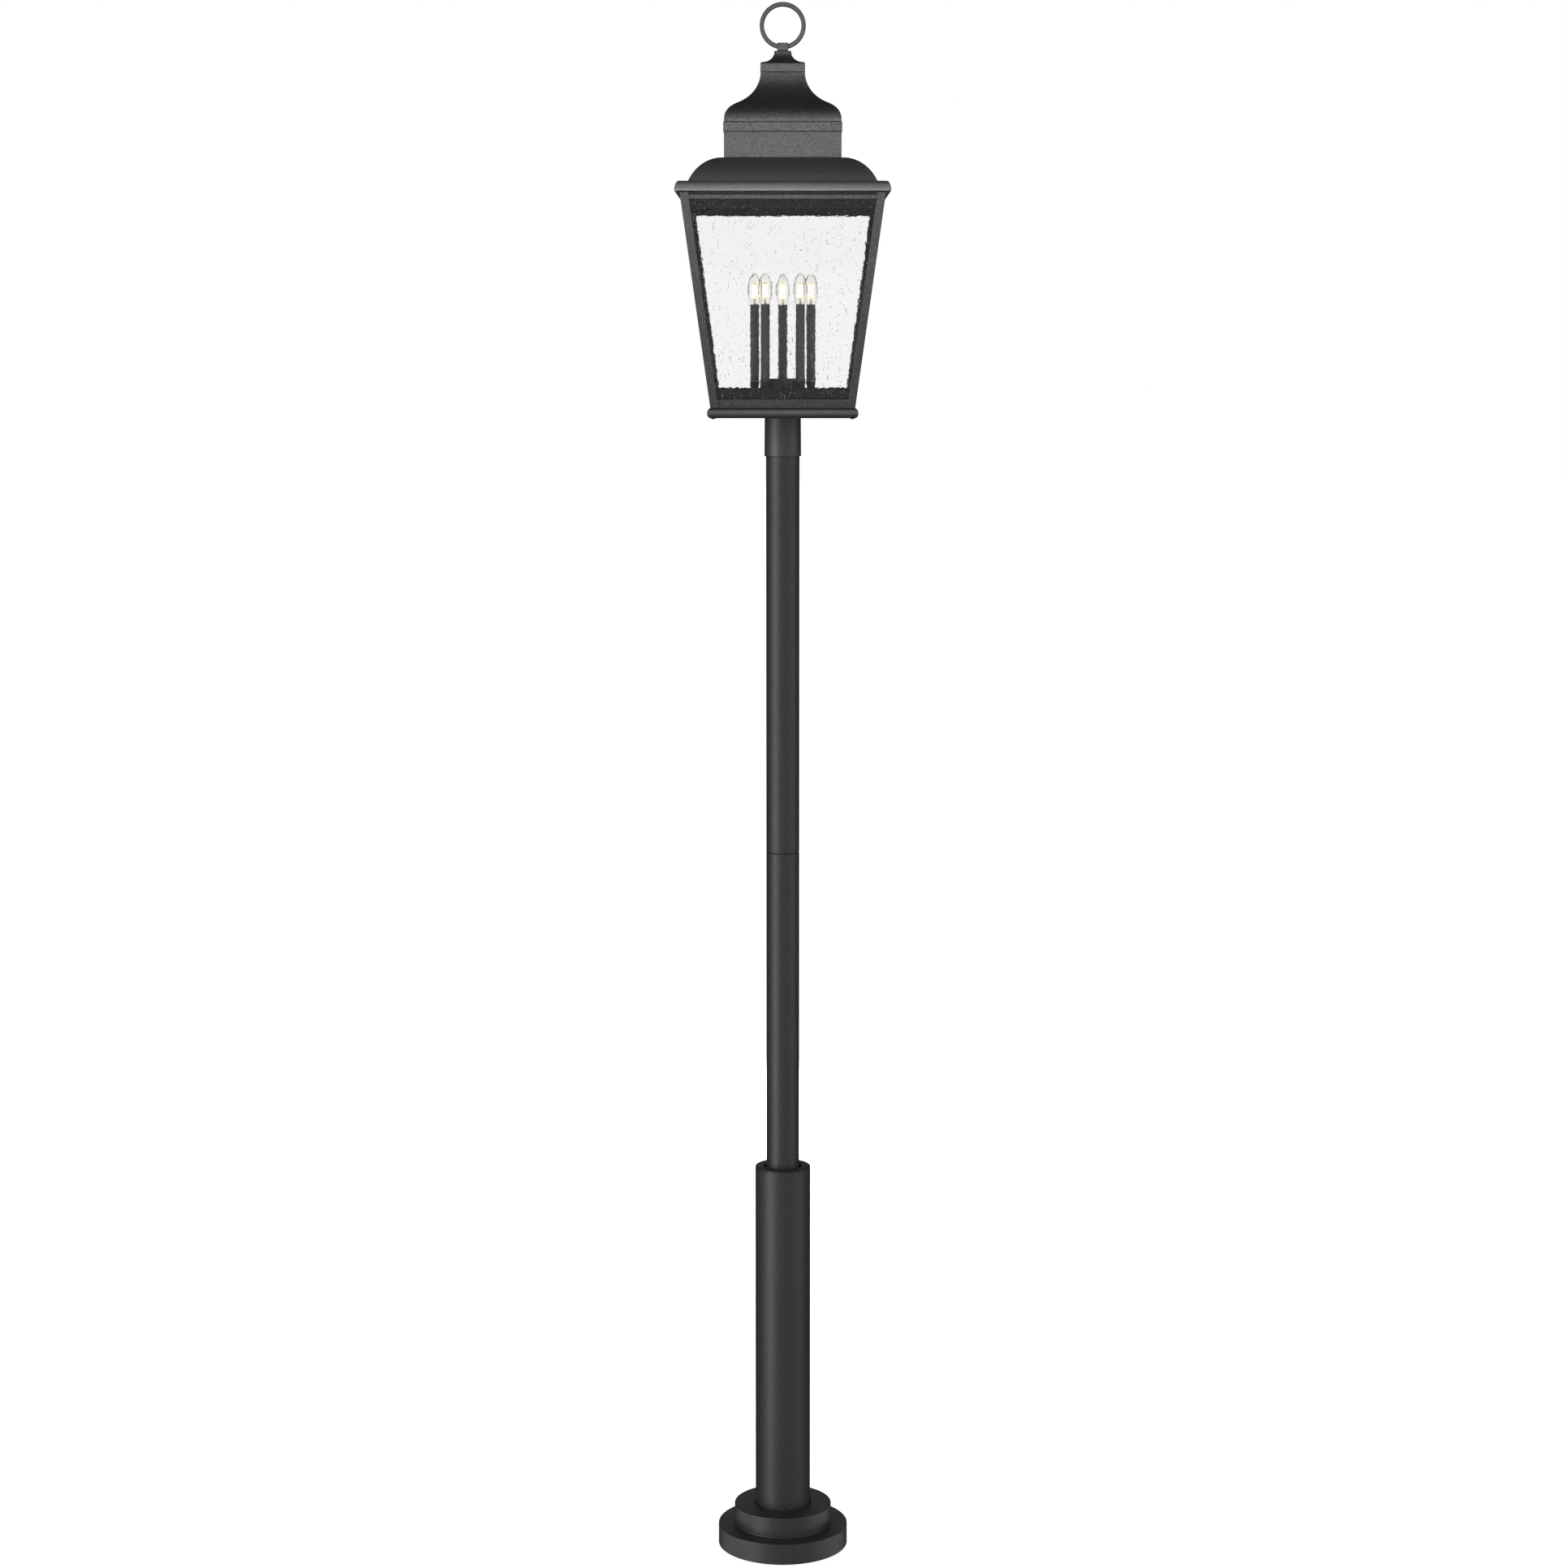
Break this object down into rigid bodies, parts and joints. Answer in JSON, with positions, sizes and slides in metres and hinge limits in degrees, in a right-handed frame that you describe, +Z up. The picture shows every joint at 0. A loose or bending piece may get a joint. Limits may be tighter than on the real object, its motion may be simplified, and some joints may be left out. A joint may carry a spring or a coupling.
{
  "type": "street lantern",
  "caption": "Square tapered lantern on a round jointed post with a stepped base cover, candle lamps behind clear glass, a lift-off ogee roof and a ring finial.",
  "frame": {"origin": "on the ground at the centre of the post's footing", "axes": "+Z up along the post, -Y towards the front of the lantern, +X to the right seen from the front"},
  "size_m": [0.4724, 0.4724, 3.5804],
  "materials": {
    "powder_coat": "fine sand-textured charcoal powder coat",
    "candle_coat": "black textured paint on the candle tubes",
    "zinc_steel": "dull zinc-plated steel",
    "seeded_glass": "clear seeded glass with small bubbles and a gentle wave",
    "bulb_glass": "thin clear glass over warm white filaments",
    "phenolic": "moulded dark phenolic"
  },
  "bodies": {
    "post": {"anchor_plate": "zinc_steel", "post_socket": "zinc_steel", "lower_sleeve": "powder_coat", "sleeve_cap": "powder_coat", "sleeve_screw_1": "zinc_steel", "sleeve_screw_2": "zinc_steel", "sleeve_screw_3": "zinc_steel", "sleeve_screw_4": "zinc_steel", "lower_post": "powder_coat", "upper_post": "powder_coat", "post_coupler": "zinc_steel"},
    "base_cover_body": {"base_cover": "powder_coat"},
    "lantern": {"fitter": "powder_coat", "fitter_screw_1": "zinc_steel", "fitter_screw_2": "zinc_steel", "fitter_screw_3": "zinc_steel", "bottom_moulding": "powder_coat", "bottom_pan": "powder_coat", "corner_post_front_left": "powder_coat", "corner_post_front_right": "powder_coat", "corner_post_back_right": "powder_coat", "corner_post_back_left": "powder_coat", "glass_pane_front": "seeded_glass", "glass_pane_right": "seeded_glass", "glass_pane_back": "seeded_glass", "glass_pane_left": "seeded_glass", "bottom_frame": "powder_coat", "top_frame": "powder_coat", "hub_pipe": "zinc_steel", "hub_nut": "zinc_steel", "candle_cluster": "powder_coat", "cluster_disc": "powder_coat", "candle_sleeve_1": "candle_coat", "candle_sleeve_2": "candle_coat", "candle_sleeve_3": "candle_coat", "candle_sleeve_4": "candle_coat", "candle_sleeve_5": "candle_coat", "lamp_holder_1": "phenolic", "lamp_holder_2": "phenolic", "lamp_holder_3": "phenolic", "lamp_holder_4": "phenolic", "lamp_holder_5": "phenolic", "crossbar": "powder_coat", "tie_rod": "zinc_steel", "rod_nut": "zinc_steel", "coupling_nut": "zinc_steel"},
    "roof": {"eave_moulding": "powder_coat", "pan_roof": "powder_coat", "neck_box": "powder_coat", "collar_band": "powder_coat", "bell_roof": "powder_coat", "roof_cap": "powder_coat"},
    "finial": {"finial_ring": "powder_coat", "finial_holder": "powder_coat"},
    "lamp_1": {"bulb_1": "bulb_glass"},
    "lamp_2": {"bulb_2": "bulb_glass"},
    "lamp_3": {"bulb_3": "bulb_glass"},
    "lamp_4": {"bulb_4": "bulb_glass"},
    "lamp_5": {"bulb_5": "bulb_glass"}
  },
  "joints": [
    {"name": "base_cover_lift", "type": "slide", "parent": "post", "child": "base_cover_body", "axis": [0, 0, 1], "range_m": [0, 0.3]},
    {"name": "lantern_turn", "type": "hinge", "parent": "post", "child": "lantern", "pos_m": [0, 0, 2.62], "axis": [0, 0, 1], "range_deg": [-180, 180]},
    {"name": "roof_lift", "type": "slide", "parent": "lantern", "child": "roof", "axis": [0, 0, 1], "range_m": [0, 0.25]},
    {"name": "finial_turn", "type": "hinge", "parent": "roof", "child": "finial", "pos_m": [0, 0, 3.48], "axis": [0, 0, 1], "continuous": true},
    {"name": "bulb_1_lift", "type": "slide", "parent": "lantern", "child": "lamp_1", "axis": [0, 0, 1], "range_m": [0, 0.035]},
    {"name": "bulb_2_lift", "type": "slide", "parent": "lantern", "child": "lamp_2", "axis": [0, 0, 1], "range_m": [0, 0.035]},
    {"name": "bulb_3_lift", "type": "slide", "parent": "lantern", "child": "lamp_3", "axis": [0, 0, 1], "range_m": [0, 0.035]},
    {"name": "bulb_4_lift", "type": "slide", "parent": "lantern", "child": "lamp_4", "axis": [0, 0, 1], "range_m": [0, 0.035]},
    {"name": "bulb_5_lift", "type": "slide", "parent": "lantern", "child": "lamp_5", "axis": [0, 0, 1], "range_m": [0, 0.035]}
  ]
}
